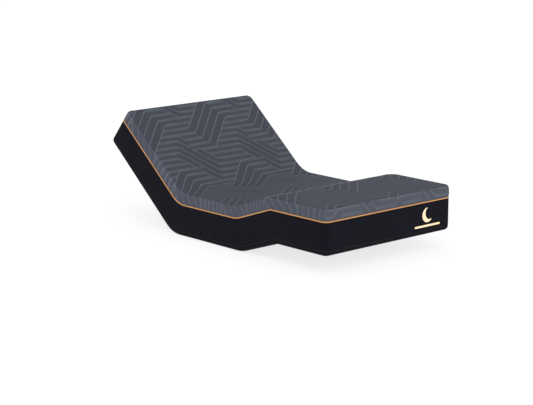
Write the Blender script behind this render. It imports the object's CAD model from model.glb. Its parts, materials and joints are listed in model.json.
import json
from math import atan2, ceil, cos, pi, radians, sin, tan

import bmesh
import bpy
import numpy as np
from mathutils import Matrix, Vector


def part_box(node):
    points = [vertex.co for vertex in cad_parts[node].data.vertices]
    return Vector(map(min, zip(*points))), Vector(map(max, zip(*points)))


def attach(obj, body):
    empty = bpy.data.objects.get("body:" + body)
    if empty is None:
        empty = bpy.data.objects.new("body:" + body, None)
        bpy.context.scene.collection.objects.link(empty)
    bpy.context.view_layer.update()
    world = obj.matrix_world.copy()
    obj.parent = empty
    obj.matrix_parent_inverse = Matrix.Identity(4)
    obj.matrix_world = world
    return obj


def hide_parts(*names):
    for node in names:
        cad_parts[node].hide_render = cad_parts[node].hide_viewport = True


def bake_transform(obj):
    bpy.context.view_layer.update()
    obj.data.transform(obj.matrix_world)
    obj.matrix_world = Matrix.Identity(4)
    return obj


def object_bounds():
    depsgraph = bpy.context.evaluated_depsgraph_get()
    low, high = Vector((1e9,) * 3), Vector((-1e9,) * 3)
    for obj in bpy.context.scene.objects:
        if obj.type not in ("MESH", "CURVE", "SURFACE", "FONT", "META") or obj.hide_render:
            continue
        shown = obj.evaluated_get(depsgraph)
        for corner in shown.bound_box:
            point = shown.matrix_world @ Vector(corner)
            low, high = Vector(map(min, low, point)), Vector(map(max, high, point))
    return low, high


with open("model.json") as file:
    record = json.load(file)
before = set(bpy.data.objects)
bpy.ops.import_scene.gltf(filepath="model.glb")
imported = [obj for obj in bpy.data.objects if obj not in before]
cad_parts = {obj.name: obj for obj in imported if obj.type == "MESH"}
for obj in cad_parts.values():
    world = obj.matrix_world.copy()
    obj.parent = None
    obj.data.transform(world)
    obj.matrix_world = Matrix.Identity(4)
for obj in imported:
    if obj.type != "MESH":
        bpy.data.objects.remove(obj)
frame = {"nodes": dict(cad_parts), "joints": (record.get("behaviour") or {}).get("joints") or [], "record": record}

cad_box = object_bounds()


# Studio. A white room gives soft light all round, and a broad soft key comes from low on the foot side,
# so that the borders and the quilt's drop read a little lighter than the level top.
camera = bpy.data.objects.new("camera", bpy.data.cameras.new("camera"))
camera.data.lens = 112.47
camera.data.clip_end = 100
camera.location = (-6.3053, -6.9877, 2.2052)
camera.rotation_mode = "QUATERNION"
camera.rotation_quaternion = Vector((0.65382, 0.72626, -0.21231)).to_track_quat("-Z", "Y")
bpy.context.scene.collection.objects.link(camera)
bpy.context.scene.camera = camera
bpy.context.scene.view_settings.view_transform = "Standard"

room = bpy.data.worlds.new("white_room")
room.use_nodes = True
room.node_tree.nodes["Background"].inputs["Color"].default_value = (1, 1, 1, 1)
room.node_tree.nodes["Background"].inputs["Strength"].default_value = 1.0
bpy.context.scene.world = room

key = bpy.data.objects.new("key", bpy.data.lights.new("key", "SUN"))
key.data.energy = 1.1
key.data.angle = radians(40)
key.rotation_mode = "QUATERNION"
key.rotation_quaternion = Vector((0.34, 0.82, -0.46)).to_track_quat("-Z", "Y")
bpy.context.scene.collection.objects.link(key)


# Floor. A plain white sweep of painted board, which glows a little so that the shadow on it stays pale.
def new_object(name, shape):
    """Turns a finished bmesh into an object with smooth faces."""
    for face in shape.faces:
        face.smooth = True
    mesh = bpy.data.meshes.new(name)
    shape.to_mesh(mesh)
    shape.free()
    made = bpy.data.objects.new(name, mesh)
    bpy.context.scene.collection.objects.link(made)
    return made


class Strand:
    """One socket in a finish's nodes. Sums on it, and on plain numbers with it, add Math nodes."""

    def __init__(self, tree, socket=None):
        self.tree = tree
        self.socket = socket

    def node(self, kind, settings, sockets, out=0):
        """Adds a node: its settings first, then a value or a strand for each of its sockets."""
        made = self.tree.nodes.new(kind)
        for name, value in settings.items():
            setattr(made, name, value)
        for name, value in sockets.items():
            if isinstance(value, Strand):
                self.tree.links.new(value.socket, made.inputs[name])
            else:
                made.inputs[name].default_value = value
        return Strand(self.tree, made.outputs[out])

    def sum(self, operation, *values):
        return self.node("ShaderNodeMath", {"operation": operation}, dict(enumerate(values)))

    def object_place(self):
        """A point's place in the frame."""
        return self.node("ShaderNodeTexCoord", {}, {}, out=3)

    def cloth_place(self):
        """A point's place on the cloth, as it was cut."""
        return self.node("ShaderNodeUVMap", {"uv_map": "cloth"}, {})

    def axis(self, number):
        """One coordinate of a place: 0 for X, 1 for Y, 2 for Z."""
        return self.node("ShaderNodeSeparateXYZ", {}, {"Vector": self}, out=number)

    def noise(self, scale, detail=2):
        """Soft random patches at a place, from 0 to 1."""
        sockets = {"Vector": self, "Scale": scale, "Detail": detail}
        return self.node("ShaderNodeTexNoise", {}, sockets)

    def cells(self, scale):
        """Small rounded cells at a place: how far it is from the middle of the nearest."""
        return self.node("ShaderNodeTexVoronoi", {}, {"Vector": self, "Scale": scale})

    def __add__(self, other):
        return self.sum("ADD", self, other)

    __radd__ = __add__

    def __sub__(self, other):
        return self.sum("SUBTRACT", self, other)

    def __rsub__(self, other):
        return self.sum("SUBTRACT", other, self)

    def __mul__(self, other):
        return self.sum("MULTIPLY", self, other)

    __rmul__ = __mul__

    def __truediv__(self, other):
        return self.sum("DIVIDE", self, other)

    def __rtruediv__(self, other):
        return self.sum("DIVIDE", other, self)

    def __mod__(self, other):
        return self.sum("FLOORED_MODULO", self, other)

    def __pow__(self, other):
        return self.sum("POWER", self, other)

    def __abs__(self):
        return self.sum("ABSOLUTE", self)

    def __gt__(self, other):
        return self.sum("GREATER_THAN", self, other)

    def __lt__(self, other):
        return self.sum("LESS_THAN", self, other)


def tint(red, green, blue):
    """A colour from its display values, 0 to 255."""
    linear = []
    for value in (red, green, blue):
        value = value / 255
        linear.append(value / 12.92 if value <= 0.04045 else ((value + 0.055) / 1.055) ** 2.4)
    return (*linear, 1.0)


def between(low, high, share):
    """Mixes two colours, or strands of colour, by a strand from 0 to 1."""
    settings = {"data_type": "RGBA", "clamp_factor": True}
    return share.node("ShaderNodeMix", settings, {0: share, 6: low, 7: high}, out=2)


def finish(name, **shader_values):
    """A new material with these values set on its shader, and the strand that its nodes start from."""
    made = bpy.data.materials.new(name)
    made.use_nodes = True
    shader = made.node_tree.nodes["Principled BSDF"]
    for socket, value in shader_values.items():
        shader.inputs[socket.replace("_", " ")].default_value = value
    return made, Strand(made.node_tree)


def feed(material, height=None, depth=0.001, **strands):
    """Feeds strands into a material's shader, and a height through a Bump node into its normal."""
    tree = material.node_tree
    shader = tree.nodes["Principled BSDF"]
    for socket, strand in strands.items():
        tree.links.new(strand.socket, shader.inputs[socket.replace("_", " ")])
    if height is not None:
        bump = height.node("ShaderNodeBump", {}, {"Distance": depth, "Height": height})
        tree.links.new(bump.socket, shader.inputs["Normal"])


floor_reach = 30
floor_gap = 0.0005
sweep = bmesh.new()
bmesh.ops.create_grid(sweep, x_segments=1, y_segments=1, size=floor_reach)
bmesh.ops.translate(sweep, vec=(0, 0, cad_box[0].z - floor_gap), verts=sweep.verts)
floor = new_object("floor", sweep)

white_sweep, start = finish(
    "white_sweep", Roughness=0.9, Specular_IOR_Level=0.1, Emission_Color=(1, 1, 1, 1), Emission_Strength=0.78
)
cloud = start.object_place().noise(1.5)
feed(white_sweep, Base_Color=between(tint(128, 128, 128), tint(132, 132, 132), cloud))
floor.data.materials.append(white_sweep)


# Foam core and fire sock. Three glued layers of cut foam inside a knitted fire sock: open-cell foam
# whose cut faces show fine pores. The cover hides them all, in every bend.
def foam(name, colour, pore):
    """Open-cell foam: a cut face with pores of the size given, in metres."""
    made, start = finish(name, Roughness=0.95)
    pores = start.object_place().cells(1 / pore)
    dark = tuple(0.72 * part for part in colour[:3]) + (1.0,)
    feed(made, height=pores, depth=pore / 4, Base_Color=between(dark, colour, pores))
    return made


def dress(material, *parts):
    """Gives the CAD pieces whose names start or end so a finish. They keep their shape."""
    for name, node in frame["nodes"].items():
        if name.startswith(parts) or name.endswith(parts):
            node.data.materials.clear()
            node.data.materials.append(material)


dress(foam("gel_memory_foam", tint(150, 178, 205), pore=0.0015), "comfort_foam")
dress(foam("channelled_foam", tint(225, 225, 215), pore=0.002), "transition_foam")
dress(foam("firm_support_foam", tint(120, 122, 126), pore=0.0025), "support_foam")
dress(foam("fold_foam", tint(205, 205, 200), pore=0.002), "fold_foam")

sock_knit, start = finish("sock_knit", Roughness=0.95)
loops = start.object_place().cells(700)
sock_shade = between(tint(205, 203, 196), tint(240, 239, 233), loops)
feed(sock_knit, height=loops, depth=0.0004, Base_Color=sock_shade)
dress(sock_knit, "fire_sock")


# Base panel. A non-slip knit under the whole mattress, turned up over the lower edge to the zip. It is
# cut flat and drawn round the rounded edge, and carries rows of small rubber grip dots.
#
# The cover is one skin over four stretches, so each of its pieces is made flat and then bent. It turns
# about the hinge lines in the underside, on an easy curve as wide as foam allows.
joints = {joint["name"]: Vector(joint.get("pos_m", (0, 0, 0))) for joint in frame["joints"]}
mounts = {mount["name"]: mount for mount in frame["record"]["mounts"]}
back_hinge = joints["back_tilt"]
thigh_hinge = joints["thigh_tilt"]
knee_hinge = joints["knee_bend"]
back_axis = mounts["back_underside"]["axis"]
thigh_axis = mounts["thigh_underside"]["axis"]
back_angle = atan2(back_axis[1], -back_axis[2])
thigh_angle = atan2(-thigh_axis[1], -thigh_axis[2])
back_lean = tan(back_angle / 2)
thigh_lean = tan(thigh_angle / 2)

seat_low, seat_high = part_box("top_panel_seat")
width = seat_high.x - seat_low.x
thickness = seat_high.z
back_length = 2 * (Vector(mounts["back_underside"]["pos_m"]) - back_hinge).length
foot_length = 2 * (Vector(mounts["foot_underside"]["pos_m"]) - knee_hinge).length
thigh_length = (knee_hinge - thigh_hinge).length
corner_radius = 0.036
core_x = width / 2 - corner_radius
piping_height = 0.184

# Where the flat cover's folds and ends lie along its top, from the middle of the seat.
seat_head = back_hinge.y - thickness * back_lean
seat_foot = -thigh_hinge.y - thickness * thigh_lean
head_end = seat_head + back_length - thickness * back_lean
foot_end = -(seat_foot + thigh_length + foot_length + thickness * thigh_lean)
mid_seat = 0.0
mid_thigh = -(seat_foot + thigh_length / 2)

# How far each fold's curve reaches each way, at the underside, the piping and the top.
curve_levels = (0, piping_height, thickness)
back_curve = (0.065, 0.058, 0.078)
thigh_curve = 0.037
knee_curve = (0.003, 0.008, 0.047)
end_ease = 0.150

# Each part of the cover crosses one fold. It runs over these stretches, and its blend reaches so far.
stretches = {"head": (mid_seat, head_end), "middle": (mid_thigh, mid_seat), "tail": (foot_end, mid_thigh)}
covered = {"head": ("back",), "middle": ("seat", "thigh"), "tail": ("foot",)}
folds = {"head": "back_fold", "middle": "thigh_fold", "tail": "knee_fold"}


def fold_curve(past, reach):
    """How far a point has gone round a fold, past its line, where the curve reaches that far each way."""
    eased_past = (past + reach) ** 2 / (4 * reach)
    return np.where(past < -reach, 0, np.where(past > reach, past, eased_past))


def bend(x, y, height):
    """Where a point of the flat mattress lies once it is bent. y runs along the top, from mid-seat."""
    back_line = back_hinge.y - height * back_lean
    thigh_line = -thigh_hinge.y - height * thigh_lean
    on_back = y - seat_head
    on_leg = -y - seat_foot
    on_foot = on_leg - thigh_length
    back_more = (thickness - height) * back_lean
    foot_less = (height - thickness) * thigh_lean
    back_flat = head_end - seat_head - end_ease
    foot_flat = -foot_end - seat_foot - thigh_length - end_ease
    run = np.where(y > 0, y * back_line / seat_head, y * thigh_line / seat_foot)
    run = np.where(on_back > 0, back_line + on_back + back_more * np.clip(on_back / back_flat, 0, 1), run)
    run = np.where(on_leg > 0, -thigh_line - on_leg, run)
    run = np.where(on_foot > 0, run - foot_less * np.clip(on_foot / foot_flat, 0, 1), run)
    back_turn = fold_curve(run - back_line, np.interp(height, curve_levels, back_curve))
    thigh_turn = fold_curve(-run - thigh_line, thigh_curve)
    knee_reach = np.interp(height, curve_levels, knee_curve)
    knee_turn = fold_curve(-run - thigh_line - thigh_length, knee_reach)
    leg_turn = thigh_turn - knee_turn
    bent_y = run + (cos(back_angle) - 1) * back_turn + (1 - cos(thigh_angle)) * leg_turn
    bent_z = height + sin(back_angle) * back_turn + sin(thigh_angle) * leg_turn
    return np.column_stack((x, bent_y, bent_z))


def points_of(mesh):
    """A mesh's points, one row each."""
    places = np.empty(len(mesh.vertices) * 3)
    mesh.vertices.foreach_get("co", places)
    return places.reshape(-1, 3)


def place_points(mesh, places):
    """Puts a mesh's points where the rows say."""
    mesh.vertices.foreach_set("co", np.asarray(places, np.float32).ravel())
    mesh.update()


def follow_fold(piece, part):
    """Lets a piece of the cover bend at the one fold that it crosses."""
    if part == "head":
        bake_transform(piece)
        return
    if part == "middle":
        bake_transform(piece)
    else:
        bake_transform(piece)


def draw_over(name, part, pitch, profile):
    """Draws a sheet over the top or bottom of one part, round its edge and down its side.

    The profile's rows give, for a distance out from the core of the sheet, how far out the sheet
    reaches and its height. Returns the piece and, for each of its points, its place on the flat
    sheet, its distance out, its turn round the corner, and its unbent place."""
    low_y, high_y = stretches[part]
    drop = profile[-1][0]
    low = low_y + corner_radius - drop if part == "tail" else low_y
    high = high_y - corner_radius + drop if part == "head" else high_y
    core_low = low_y + corner_radius if part == "tail" else low_y - 1
    core_high = high_y - corner_radius if part == "head" else high_y + 1
    across = 2 * (core_x + drop)
    sheet = bmesh.new()
    bmesh.ops.create_grid(
        sheet, x_segments=ceil(across / pitch), y_segments=ceil((high - low) / pitch), size=0.5
    )
    piece = new_object(name, sheet)
    flat = points_of(piece.data)
    x = flat[:, 0] * across
    y = low + (flat[:, 1] + 0.5) * (high - low)
    past_x = np.clip(np.abs(x) - core_x, 0, None)
    past_y = np.clip(y - core_high, 0, None) + np.clip(core_low - y, 0, None)
    out = np.maximum(past_x, past_y)
    safe = np.where(out > 0, out, 1)
    turn = np.where(past_x >= past_y, past_y / safe, 2 - past_x / safe) * pi / 4
    rows = np.array(profile)
    reach = np.interp(out, rows[:, 0], rows[:, 1])
    height = np.interp(out, rows[:, 0], rows[:, 2])
    side_x = np.sign(x)
    side_y = np.where(y > core_high, 1, -1)
    edge_y = np.clip(y, core_low, core_high)
    edge_x = np.clip(np.abs(x), 0, core_x) * side_x
    flat_x = np.where(past_x > 0, edge_x + side_x * reach * np.cos(turn), x)
    flat_y = np.where(past_y > 0, edge_y + side_y * reach * np.sin(turn), y)
    return piece, x, y, out, turn, flat_x, flat_y, height


def sine(value):
    """Sine of a strand, for yarns that repeat."""
    return value.sum("SINE", value)


grip_pitch = 0.012
grip_radius = 0.0022
grip_knit, start = finish("grip_panel_knit", Specular_IOR_Level=0.1)
place = start.object_place()
x = place.axis(0)
y = place.axis(1)
near = ((x % grip_pitch - grip_pitch / 2) ** 2 + (y % grip_pitch - grip_pitch / 2) ** 2) / grip_radius ** 2
dot = near < 1
yarn = sine(x * 3500) * sine(y * 3500)
grip_shade = between(tint(14, 14, 20), tint(19, 19, 27), yarn * 0.5 + 0.5)
grip_shade = between(grip_shade, tint(24, 24, 27), dot)
feed(grip_knit, height=dot * 0.6 + yarn * 0.15, Base_Color=grip_shade, Roughness=0.95 - dot * 0.35)

bottom_radius = 0.022
base_pitch = 0.008
base_hem = 0.004
edge_steps = 8
base_reach = corner_radius - bottom_radius
base_profile = [(0, 0, 0), (base_reach, base_reach, 0)]
for step in range(1, edge_steps + 1):
    turned = step / edge_steps * pi / 2
    base_profile.append((
        base_reach + bottom_radius * turned,
        base_reach + bottom_radius * sin(turned),
        bottom_radius * (1 - cos(turned)),
    ))
base_profile.append((base_profile[-1][0] + base_hem, corner_radius - base_hem, bottom_radius))

for part in stretches:
    piece, x, y, out, turn, flat_x, flat_y, height = draw_over(
        "underside_" + part, part, base_pitch, base_profile
    )
    place_points(piece.data, bend(flat_x, flat_y, height))
    piece.data.flip_normals()
    piece.data.materials.append(grip_knit)
    follow_fold(piece, part)
    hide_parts(*["base_panel_" + name for name in covered[part]])


# Side border. Smooth stretch knit, near black, sewn to the piping at its top and to the zip tape at its
# foot. It is stretched tight over the foam, so that it stays flat, with a slight crown between seams.
def outline(part):
    """The runs of edge that a part has, each the points where it starts, turns and stops."""
    low_y, high_y = stretches[part]
    side = width / 2
    if part == "head":
        return [[(side, low_y), (side, high_y), (-side, high_y), (-side, low_y)]]
    if part == "tail":
        return [[(-side, high_y), (-side, low_y), (side, low_y), (side, high_y)]]
    return [[(side, low_y), (side, high_y)], [(-side, high_y), (-side, low_y)]]


def walk(run, along):
    """Point and outward direction at a distance along a run of edge with rounded corners."""
    corners = [np.array(corner) for corner in run]
    places = np.zeros((len(along), 2))
    faces = np.zeros((len(along), 2))
    hair = 1e-9
    done = 0.0
    for leg in range(len(corners) - 1):
        heading = corners[leg + 1] - corners[leg]
        length = np.hypot(*heading)
        heading = heading / length
        outward = np.array((heading[1], -heading[0]))
        cut_in = corner_radius if leg > 0 else 0
        cut_out = corner_radius if leg < len(corners) - 2 else 0
        straight = length - cut_in - cut_out
        here = (along >= done - hair) & (along <= done + straight + hair)
        step = (along[here] - done)[:, None]
        places[here] = corners[leg] + heading * (cut_in + step)
        faces[here] = outward
        done += straight
        if cut_out:
            here = (along > done) & (along < done + corner_radius * pi / 2)
            angle = (along[here] - done)[:, None] / corner_radius
            faces[here] = outward * np.cos(angle) + heading * np.sin(angle)
            centre = corners[leg + 1] - heading * corner_radius - outward * corner_radius
            places[here] = centre + corner_radius * faces[here]
            done += corner_radius * pi / 2
    return places, faces


def run_length(run):
    """Length of a run of edge, round its corners."""
    legs = [abs(here[0] - there[0]) + abs(here[1] - there[1]) for here, there in zip(run, run[1:])]
    return sum(legs) - (len(run) - 2) * (2 - pi / 2) * corner_radius


def lay_on_edge(run, along, proud, height):
    """Where points lie that stand so proud of a run of edge, at that distance and height."""
    places, faces = walk(run, along)
    flat = places + faces * proud[:, None]
    return bend(flat[:, 0], flat[:, 1], height)


def strip(name, part, pitch, profile, closed=False):
    """A strip laid along a part's edge. Its profile's rows say how proud it stands and its height."""
    rows = np.array(profile)
    strips = bmesh.new()
    spans = []
    for shift, run in enumerate(outline(part)):
        length = run_length(run)
        grid = bmesh.ops.create_grid(
            strips, x_segments=ceil(length / pitch), y_segments=len(rows) - 1, size=0.5
        )
        bmesh.ops.translate(strips, vec=(2 * shift, 0, 0), verts=grid["verts"])
        spans.append((2 * shift, run, length))
    piece = new_object(name, strips)
    flat = points_of(piece.data)
    places = np.zeros_like(flat)
    level = (flat[:, 1] + 0.5) * (len(rows) - 1)
    proud = np.interp(level, np.arange(len(rows)), rows[:, 0])
    height = np.interp(level, np.arange(len(rows)), rows[:, 1])
    cloth = np.zeros((len(flat), 2))
    for shift, run, length in spans:
        here = np.abs(flat[:, 0] - shift) < 1
        along = (flat[here, 0] - shift + 0.5) * length
        places[here] = lay_on_edge(run, along, proud[here], height[here])
        cloth[here] = np.column_stack((along, level[here]))
    place_points(piece.data, places)
    corner_points = np.empty(len(piece.data.loops), int)
    piece.data.loops.foreach_get("vertex_index", corner_points)
    layer = piece.data.uv_layers.new(name="cloth")
    layer.data.foreach_set("uv", cloth[corner_points].astype(np.float32).ravel())
    if closed:
        shape = bmesh.new()
        shape.from_mesh(piece.data)
        bmesh.ops.remove_doubles(shape, verts=shape.verts, dist=1e-6)
        shape.to_mesh(piece.data)
        shape.free()
    return piece


border_knit, start = finish("border_stretch_knit", Specular_IOR_Level=0.05)
place = start.object_place()
course = sine(place.axis(2) * 3600)
yarn = sine(place.axis(0) * 4200) * course + sine(place.axis(1) * 4200) * course
lint = place.noise(900)
border_shade = between(tint(14, 14, 21), tint(18, 18, 28), place.noise(6, detail=1))
border_shade = between(border_shade, tint(30, 30, 40), (lint - 0.62) * 4)
feed(
    border_knit, height=yarn, depth=0.00012, Base_Color=border_shade,
    Roughness=0.62 + yarn * 0.03 + lint * 0.1
)

border_floor = 0.031
border_top = 0.1805
border_crown = 0.0004
border_steps = 12
border_roll = 0.001
strip_pitch = 0.003

# Each row of a strip's profile says how proud it stands and how high. The border is tucked into the
# seam at its foot, rolls out of it, and is tucked in again at the piping.
border_profile = [
    (-0.006, border_floor - 0.001),
    (-0.0012, border_floor - 0.0003),
    (-0.0002, border_floor + border_roll),
]
for step in range(1, border_steps):
    level = step / border_steps
    border_profile.append((
        border_crown * (1 - (2 * level - 1) ** 4),
        border_floor + border_roll + level * (border_top - border_floor - 2 * border_roll),
    ))
border_profile += [(-0.0002, border_top - border_roll), (-0.0012, border_top - 0.0003), (-0.006, border_top)]

for part in stretches:
    piece = strip("side_border_" + part, part, strip_pitch, border_profile)
    piece.data.materials.append(border_knit)
    follow_fold(piece, part)
    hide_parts(folds[part] + "_border", *["border_" + name for name in covered[part]])


# Zip. A woven tape sewn between the base panel and the border, all round, with a coil of nylon teeth
# on it. The slider and its pull keep their own shape, in dark plated metal.
tape_weave, start = finish("zip_tape_weave", Roughness=0.85, Specular_IOR_Level=0.1)
ribs = sine(start.cloth_place().axis(0) * 5200) * 0.5 + 0.5
feed(tape_weave, height=ribs, depth=0.0002, Base_Color=between(tint(15, 15, 21), tint(26, 26, 34), ribs))

coil_nylon, start = finish("zip_coil_nylon", Specular_IOR_Level=0.3)
rub = start.object_place().noise(300)
feed(coil_nylon, Base_Color=between(tint(14, 14, 18), tint(28, 28, 34), rub), Roughness=0.5 + rub * 0.2)

zip_height = 0.0265

# The tape is tucked in at both edges, and stands back a little from the border.
tape_profile = [
    (-0.004, 0.0222),
    (-0.0012, 0.0226),
    (-0.0009, 0.0245),
    (-0.0009, 0.0285),
    (-0.0012, 0.0304),
    (-0.004, 0.0308),
]
tooth_size = (0.0017, 0.0046, 0.0016)
tooth_round = 0.0004
tooth_pitch = 0.0030
coil_inset = 0.0006


def tooth_row(length):
    """The mesh of a straight row of bevelled teeth along X, of about this length."""
    tooth = bmesh.new()
    bmesh.ops.create_cube(tooth, size=1)
    bmesh.ops.scale(tooth, vec=tooth_size, verts=tooth.verts)
    bmesh.ops.translate(tooth, vec=(tooth_pitch / 2, 0, 0), verts=tooth.verts)
    bmesh.ops.bevel(
        tooth, geom=list(tooth.edges), offset=tooth_round, offset_type="OFFSET", segments=1, profile=0.5,
        affect="EDGES", material=-1
    )
    holder = new_object("tooth_row", tooth)
    row = holder.modifiers.new("row", "ARRAY")
    row.count = int(length / tooth_pitch)
    row.use_relative_offset = False
    row.use_constant_offset = True
    row.constant_offset_displace = (tooth_pitch, 0, 0)
    bpy.context.view_layer.update()
    laid = bpy.data.meshes.new_from_object(holder.evaluated_get(bpy.context.evaluated_depsgraph_get()))
    bpy.data.objects.remove(holder)
    return laid


for part in stretches:
    piece = strip("zip_weave_" + part, part, strip_pitch, tape_profile)
    piece.data.materials.append(tape_weave)
    follow_fold(piece, part)
    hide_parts(*["zip_tape_" + name for name in covered[part]])

    teeth = bmesh.new()
    for run in outline(part):
        laid = tooth_row(run_length(run))
        flat = points_of(laid)
        place_points(laid, lay_on_edge(run, flat[:, 0], flat[:, 2] - coil_inset, zip_height + flat[:, 1]))
        teeth.from_mesh(laid)
    coil = new_object("zip_coil_" + part, teeth)
    coil.data.materials.append(coil_nylon)
    follow_fold(coil, part)
    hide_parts(*["zip_chain_" + name for name in covered[part]])

slider_metal, start = finish("dark_plated_metal", Metallic=1.0)
wear = start.object_place().noise(500, detail=3)
metal_shade = between(tint(70, 70, 74), tint(120, 120, 124), wear)
feed(slider_metal, Base_Color=metal_shade, Roughness=0.25 + wear * 0.25)
dress(slider_metal, "zip_slider", "zip_pull")


# Piping. A gold cord in the seam between the border and the quilt, all round: a filler cord wrapped in
# a satin strip cut on the bias, so its fine ribs run round it at a slant.
piping_radius = 0.0035
piping_proud = -0.0015
piping_sides = 16
rib_slant = 2 * pi / piping_sides * 3

gold_satin, start = finish("gold_piping_satin", Specular_IOR_Level=0.25, Roughness=0.5)
place = start.cloth_place()
ribs = sine(place.axis(0) * 1900 + place.axis(1) * rib_slant) * 0.5 + 0.5
feed(gold_satin, height=ribs, depth=0.0003, Base_Color=between(tint(178, 122, 70), tint(214, 160, 102), ribs))

piping_profile = []
for step in range(piping_sides + 1):
    angle = pi - step / piping_sides * 2 * pi
    piping_profile.append((
        piping_proud + piping_radius * cos(angle),
        piping_height - piping_radius * sin(angle),
    ))

for part in stretches:
    piece = strip("piping_cord_" + part, part, strip_pitch, piping_profile, closed=True)
    piece.data.materials.append(gold_satin)
    follow_fold(piece, part)
    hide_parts(folds[part] + "_piping", *["piping_" + name for name in covered[part]])


# Quilted top. Slate knit quilted to a thin layer of foam, with rows of raised stitching that run across
# and step aside in slanted islands, and a fine pale seam over the knee. It wraps over the top edge and
# drops to the piping all round.
row_pitch = 0.0423
first_row = 0.028
repeat_x = 11 * row_pitch
repeat_y = 12 * row_pitch


def eased(way):
    """Climbs from 0 to 1 with rounded ends, as way goes from 0 to 1."""
    step_round = 0.0016
    return ((way * way + step_round) ** 0.5 - ((way - 1) * (way - 1) + step_round) ** 0.5 + 1) / 2


def island(x, y, corner_x, corner_y, lean, start, across, step, first, last):
    """One kind of island, repeated over the cloth, where rows climb by a step on their way across.

    Returns the row number, how far it is on its way, and 1 between the island's first and last rows."""
    near_x = (x - corner_x) % repeat_x + corner_x
    near_y = (y - corner_y) % repeat_y + corner_y
    way = (near_x + lean * near_y - start) / across
    row = (near_y - first_row) / row_pitch + step * eased(way)
    return row, way, (row > first) * (row < last)


def quilt_rows(x, y):
    """Row number at a place on the cloth, how far it is on a slant, and how strong its line is there.

    y runs from the head. Works on arrays for the puffed shape, and on strands for the finish."""
    rising, rising_way, on_rising = island(
        x, y, corner_x=0.265, corner_y=-0.070, lean=-0.6, start=0.228, across=0.334, step=5,
        first=3.94, last=8.06
    )
    falling, falling_way, on_falling = island(
        x, y, corner_x=0.045, corner_y=0.180, lean=0.473, start=0.341, across=0.279, step=-5,
        first=4.94, last=9.06
    )
    on_falling = on_falling * (1 - on_rising)
    level = (y - first_row) / row_pitch
    row = on_rising * rising + on_falling * falling + (1 - on_rising - on_falling) * level
    way = on_rising * rising_way + on_falling * falling_way
    off_middle = (way - 0.5) * (way - 0.5)
    inside = on_rising + on_falling
    return row, inside / (1 + (off_middle / 0.27) ** 8), inside / (1 + (off_middle / 0.52) ** 4)


def off_row(row):
    """Distance from the nearest row, in metres."""
    return abs((row + 0.5) % 1 - 0.5) * row_pitch


line_reach = 0.0018
band_reach = 0.0105
knee_seam = 1.6186
knee_seam_reach = 0.0044
slate_knit, start = finish("quilted_slate_knit", Specular_IOR_Level=0.1)
place = start.cloth_place()
x = place.axis(0)
y = place.axis(1)
drop = start.node("ShaderNodeAttribute", {"attribute_name": "drop"}, {}, out=2)
row, slanted, traced = quilt_rows(x, y)
off = off_row(row)
line = traced / (1 + (off / line_reach) ** 6)
calmer_to_foot = 1 - 0.6 / (1 + (2.0 / (y + 1.15)) ** 12)
band = calmer_to_foot * (1 - slanted) / (1 + (off / band_reach) ** 6)
welt = 1 / (1 + (abs(y - knee_seam) / knee_seam_reach) ** 4)
knit = sine(x * 4600) * sine(y * 3900)
fleck = place.noise(700)
top = between(tint(60, 63, 71), tint(74, 78, 87), band)
top = between(top, tint(95, 100, 111), line)
top = between(top, tint(152, 149, 144), welt * 0.9)
top = between(top, tint(96, 100, 111), (fleck - 0.55) * 1.2)
on_end = (x > 0) * (x < width)
side = between(tint(74, 78, 88), tint(90, 94, 105), band * (1 - 0.55 * on_end))
side = between(side, tint(112, 116, 126), line * 0.6)
side = between(side, tint(62, 65, 74), (fleck - 0.5) * 0.9)
relief = line * 0.8 + band * 0.3 + knit * 0.12 + fleck * 0.2
feed(slate_knit, height=relief, Base_Color=between(top, side, drop), Roughness=0.8 + knit * 0.05)

quilt_pitch = 0.0035
top_radius = 0.018
quilt_bulge = 0.0018
quilt_pull_in = 0.0012
quilt_tuck = 0.007
quilt_tuck_drop = 0.0005
quilt_reach = corner_radius - top_radius
seam_height = piping_height + piping_radius
quilt_profile = [(0, 0, thickness), (quilt_reach, quilt_reach, thickness)]
for step in range(1, edge_steps + 1):
    turned = step / edge_steps * pi / 2
    quilt_profile.append((
        quilt_reach + top_radius * turned,
        quilt_reach + top_radius * sin(turned),
        thickness - top_radius * (1 - cos(turned)),
    ))
edge_out = quilt_profile[-1][0]
side_drop = thickness - top_radius - seam_height
for step in range(1, edge_steps + 1):
    level = step / edge_steps
    quilt_profile.append((
        edge_out + side_drop * level,
        corner_radius + quilt_bulge * sin(pi * level) - quilt_pull_in * level ** 4,
        thickness - top_radius - side_drop * level,
    ))
quilt_profile.append((
    edge_out + side_drop + quilt_tuck,
    corner_radius - quilt_tuck,
    seam_height - quilt_tuck_drop,
))
crease = quilt_reach + top_radius * pi / 4

# How far from the head, along the cloth as it was knitted, each of these places on the top lies. The
# rows are closer together on the seat and closest on the thigh.
top_places = (0, 0.6456, 1.1136, 1.4066, 1.8471)
cloth_places = (0, 0.646, 1.232, 1.6627, 2.1032)
foot_drop_start = 0.491
knit_puff = 0.0005
line_rise = 0.0007
line_rise_reach = 0.0030
knee_seam_rise = 0.0025
relief_fade = 0.012

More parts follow.
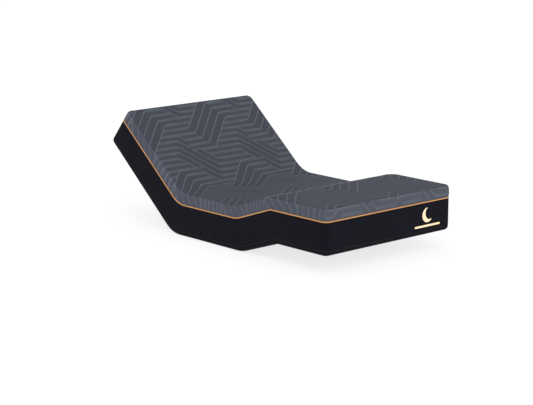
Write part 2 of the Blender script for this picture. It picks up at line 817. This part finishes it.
for part in stretches:
    piece, x, y, out, turn, flat_x, flat_y, height = draw_over(
        "quilt_" + part, part, quilt_pitch, quilt_profile
    )
    mesh = piece.data
    corner_points = np.empty(len(mesh.loops), int)
    mesh.loops.foreach_get("vertex_index", corner_points)
    corners = corner_points.reshape(-1, 4)
    down = np.clip(out - crease, 0, None)
    end_y = head_end if part == "head" else foot_end
    end_side = np.sign(end_y)
    core_y = end_y - corner_radius * end_side
    turned = np.minimum(turn, pi / 2)
    long_y = np.where(turn > 0, core_y + end_side * corner_radius * turned, y)
    short_x = np.where(
        np.abs(x) > core_x, np.sign(x) * (core_x + corner_radius * (pi / 2 - turned)), x
    )
    tops = np.column_stack((flat_x + width / 2, np.interp(head_end - flat_y, top_places, cloth_places)))
    sides = np.column_stack((
        width / 2 + np.sign(x) * (width / 2 + down),
        np.interp(head_end - long_y, top_places, cloth_places),
    ))
    ends = np.column_stack((short_x + width / 2, -down if part == "head" else foot_drop_start + down))

    # On the drop, the cloth is laid out from the nearer long side or end. A face takes one layout.
    face_drops = out[corners].mean(axis=1) > crease
    face_ends = face_drops & (turn[corners].mean(axis=1) > pi / 4)
    cloth = np.where(face_drops[:, None, None], sides[corners], tops[corners])
    cloth = np.where(face_ends[:, None, None], ends[corners], cloth)
    layer = mesh.uv_layers.new(name="cloth")
    layer.data.foreach_set("uv", cloth.astype(np.float32).ravel())
    flag = mesh.attributes.new("drop", "FLOAT", "CORNER")
    flag.data.foreach_set("value", np.repeat(face_drops.astype(np.float32), 4))

    point_drops = out > crease
    point_ends = point_drops & (turn > pi / 4)
    cloth = np.where(point_drops[:, None], sides, tops)
    cloth = np.where(point_ends[:, None], ends, cloth)
    row, slanted, traced = quilt_rows(cloth[:, 0], cloth[:, 1])
    off = off_row(row)
    puff = knit_puff * (1 - slanted) * np.cos(off / row_pitch * 2 * pi)
    raised = line_rise * traced / (1 + (off / line_rise_reach) ** 4)
    welt = knee_seam_rise / (1 + (np.abs(cloth[:, 1] - knee_seam) / knee_seam_reach) ** 4)
    raised = np.where(out < crease, raised + welt, raised)
    fade_at_crease = np.clip(np.abs(out - crease) / relief_fade, 0, 1)
    fade_at_seam = np.clip((edge_out + side_drop - out) / relief_fade, 0, 1)
    relief = (puff + raised) * fade_at_crease * fade_at_seam
    lean = np.clip((out - quilt_reach) / (edge_out - quilt_reach), 0, 1) * pi / 2
    way_x = np.where(np.abs(x) > core_x, np.sign(x) * np.cos(turn), 0)
    way_y = np.where(out > 0, end_side * np.sin(turn), 0)
    flat_x = flat_x + way_x * relief * np.sin(lean)
    flat_y = flat_y + way_y * relief * np.sin(lean)
    place_points(mesh, bend(flat_x, flat_y, height + relief * np.cos(lean)))
    mesh.materials.append(slate_knit)
    follow_fold(piece, part)
    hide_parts(folds[part] + "_top_panel", *["top_panel_" + name for name in covered[part]])


# Emblem. A plain moon and bar in pale gold transfer film, pressed on to the border's foot end.
film, start = finish("pale_gold_film", Roughness=0.4)
grain = start.object_place().noise(1200)
feed(film, height=grain, depth=0.0001, Base_Color=between(tint(244, 208, 160), tint(255, 228, 186), grain))
dress(film, "foot_emblem")


# Care label. A blank patch of woven tape on the border's head end, sewn down all round with a running
# stitch in grey thread.
label_weave, start = finish("care_label_weave", Roughness=0.8, Specular_IOR_Level=0.2)
ribs = sine(start.object_place().axis(0) * 6000) * 0.5 + 0.5
label_shade = between(tint(206, 204, 198), tint(228, 227, 222), ribs)
feed(label_weave, height=ribs, depth=0.0001, Base_Color=label_shade)

label_thread, start = finish("label_thread", Roughness=0.6)
twist = start.object_place().noise(2500)
feed(label_thread, Base_Color=between(tint(60, 62, 70), tint(88, 90, 98), twist))

label_width = 0.110
label_depth = 0.080
label_wall = 0.0009
label_corner = 0.003
label_edge = 0.0004
label_middle = 0.105
label_low, label_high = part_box("care_label")
label_x = (label_low.x + label_high.x) / 2
stitch_size = (0.0034, 0.0007, 0.0005)
stitch_round = 0.0002
stitch_pitch = 0.0050
stitch_inset = 0.0030


def press_on_head(piece):
    """Moves a piece drawn flat, X across and Y up, on to the head end's border, facing out of it."""
    flat = points_of(piece.data)
    edge_y = head_end + border_crown + flat[:, 2]
    place_points(piece.data, bend(label_x - flat[:, 0], edge_y, label_middle + flat[:, 1]))


patch = bmesh.new()
bmesh.ops.create_cube(patch, size=1)
bmesh.ops.scale(patch, vec=(label_width, label_depth, label_wall), verts=patch.verts)
upright = [edge for edge in patch.edges if edge.verts[0].co.z * edge.verts[1].co.z < 0]
bmesh.ops.bevel(
    patch, geom=upright, offset=label_corner, offset_type="OFFSET", segments=4, profile=0.5,
    affect="EDGES", material=-1
)
rim = [edge for edge in patch.edges if min(vert.co.z for vert in edge.verts) > 0]
bmesh.ops.bevel(
    patch, geom=rim, offset=label_edge, offset_type="OFFSET", segments=3, profile=0.5, affect="EDGES",
    material=-1
)
care_label = new_object("sewn_care_label", patch)
press_on_head(care_label)
care_label.data.materials.append(label_weave)
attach(care_label, "back")
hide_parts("care_label")

seam = bmesh.new()
for length, reach, turned in ((label_width, label_depth, 0), (label_depth, label_width, pi / 2)):
    count = int((length - 2 * stitch_inset) / stitch_pitch)
    for side in (-1, 1):
        for step in range(count):
            stitch = bmesh.ops.create_cube(seam, size=1)["verts"]
            along = (step - (count - 1) / 2) * stitch_pitch
            across = side * (reach / 2 - stitch_inset)
            bmesh.ops.scale(seam, vec=stitch_size, verts=stitch)
            bmesh.ops.translate(seam, vec=(along, across, label_wall / 2), verts=stitch)
            bmesh.ops.rotate(seam, cent=(0, 0, 0), matrix=Matrix.Rotation(turned, 3, "Z"), verts=stitch)
bmesh.ops.bevel(
    seam, geom=list(seam.edges), offset=stitch_round, offset_type="OFFSET", segments=1, profile=0.5,
    affect="EDGES", material=-1
)
label_seam = new_object("care_label_stitches", seam)
press_on_head(label_seam)
label_seam.data.materials.append(label_thread)
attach(label_seam, "back")
